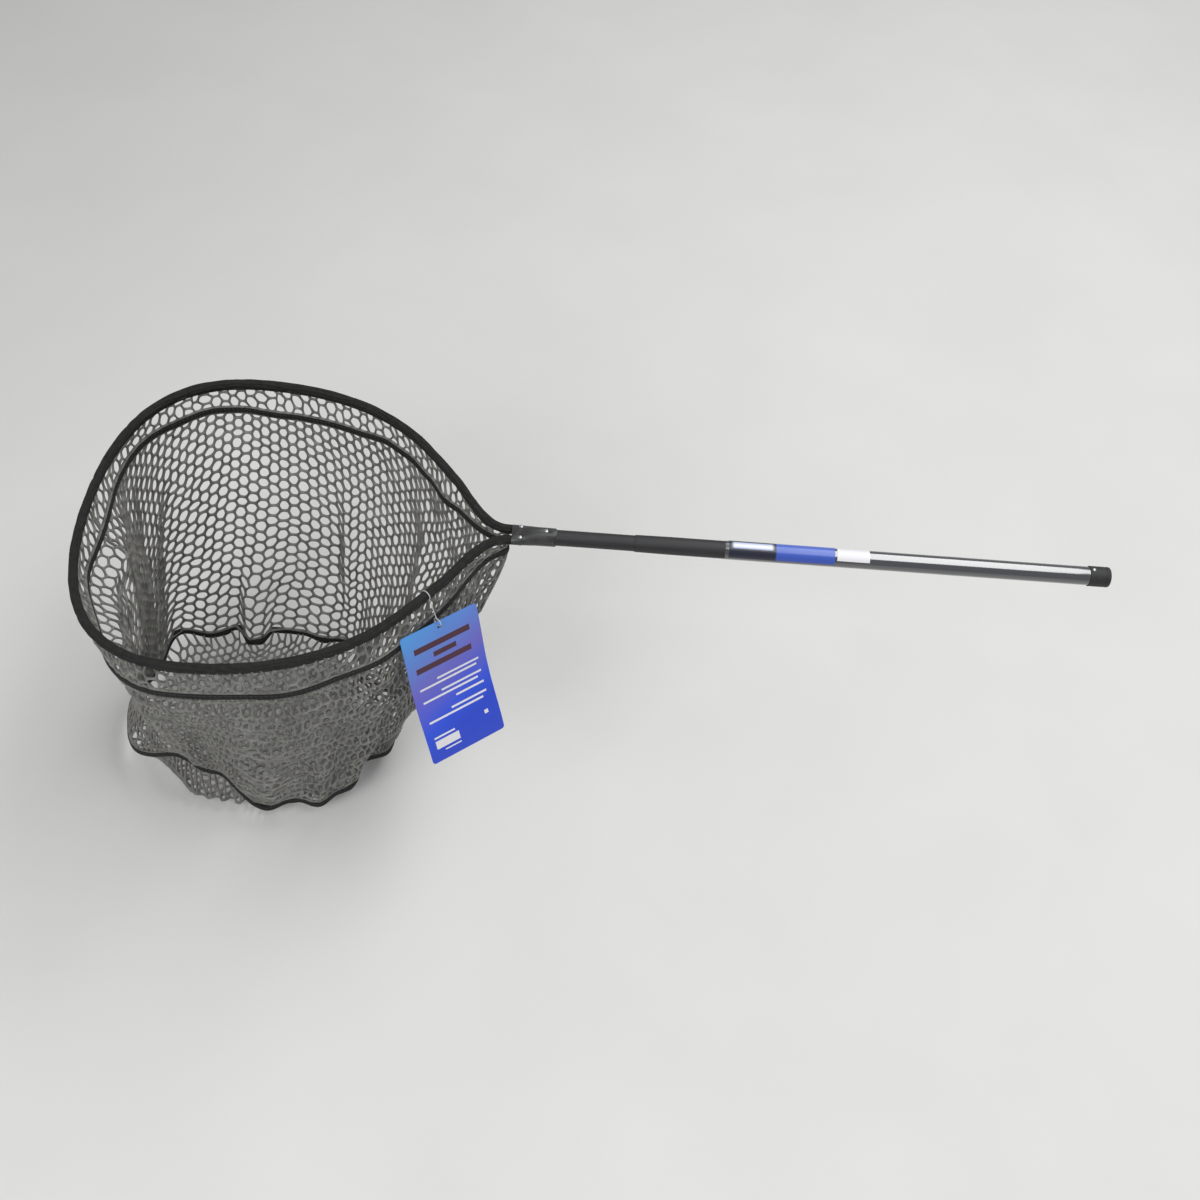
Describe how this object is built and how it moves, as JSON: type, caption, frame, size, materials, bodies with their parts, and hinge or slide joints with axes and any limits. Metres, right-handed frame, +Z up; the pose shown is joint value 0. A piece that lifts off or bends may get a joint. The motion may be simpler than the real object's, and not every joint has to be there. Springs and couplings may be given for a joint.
{
  "type": "floating landing net",
  "caption": "Long-handled floating landing net: sealed tube handle with glossy grip, riveted yoke, rounded hoop, deep flat-floored mesh bag and a swinging hang tag.",
  "frame": {"origin": "on the handle's axis in the middle of the grip, where a hand holds the net level", "axes": "+X along the handle towards its butt, so the hoop is towards -X; +Z up; the bag hangs towards -Z"},
  "size_m": [1.4209, 0.5318, 0.5092],
  "materials": {
    "dark_aluminium": "dark anodised tube, matt",
    "bare_aluminium": "bare rivet metal",
    "moulded_nylon": "black moulded nylon, satin",
    "glossy_vinyl": "glossy black shrink sleeve",
    "rubber": "black rubber",
    "foam": "closed-cell foam",
    "webbing": "dark woven tape",
    "coated_mesh": "soft coated knotless netting",
    "label_film": "printed film",
    "white_paper": "white paper sticker",
    "printed_card": "coated card, blue print",
    "clear_nylon": "clear nylon loop"
  },
  "bodies": {
    "net": {"hoop_tube": "dark_aluminium", "far_leg_plug": "rubber", "near_leg_plug": "rubber", "hoop_sleeve": "webbing", "yoke_upper": "moulded_nylon", "yoke_lower": "moulded_nylon", "far_leg_rivet": "bare_aluminium", "near_leg_rivet": "bare_aluminium", "shank_rivet": "bare_aluminium", "shank_tube": "dark_aluminium", "shank_plug": "rubber", "handle_tube": "dark_aluminium", "handle_foam_core": "foam", "grip_sleeve": "glossy_vinyl", "butt_cap": "rubber", "butt_rivet": "bare_aluminium", "handle_label": "label_film", "price_sticker": "white_paper", "net_collar": "coated_mesh", "collar_tape": "webbing", "far_wall_net": "coated_mesh", "near_wall_net": "coated_mesh", "floor_tape": "webbing", "floor_net": "coated_mesh"},
    "tag": {"hang_tag": "printed_card", "tag_loop": "clear_nylon"}
  },
  "joints": [
    {"name": "tag_swing", "type": "hinge", "parent": "net", "child": "tag", "pos_m": [-0.66389, -0.11669, 0], "axis": [-0.6108, -0.7918, 0], "range_deg": [0, 90]}
  ]
}
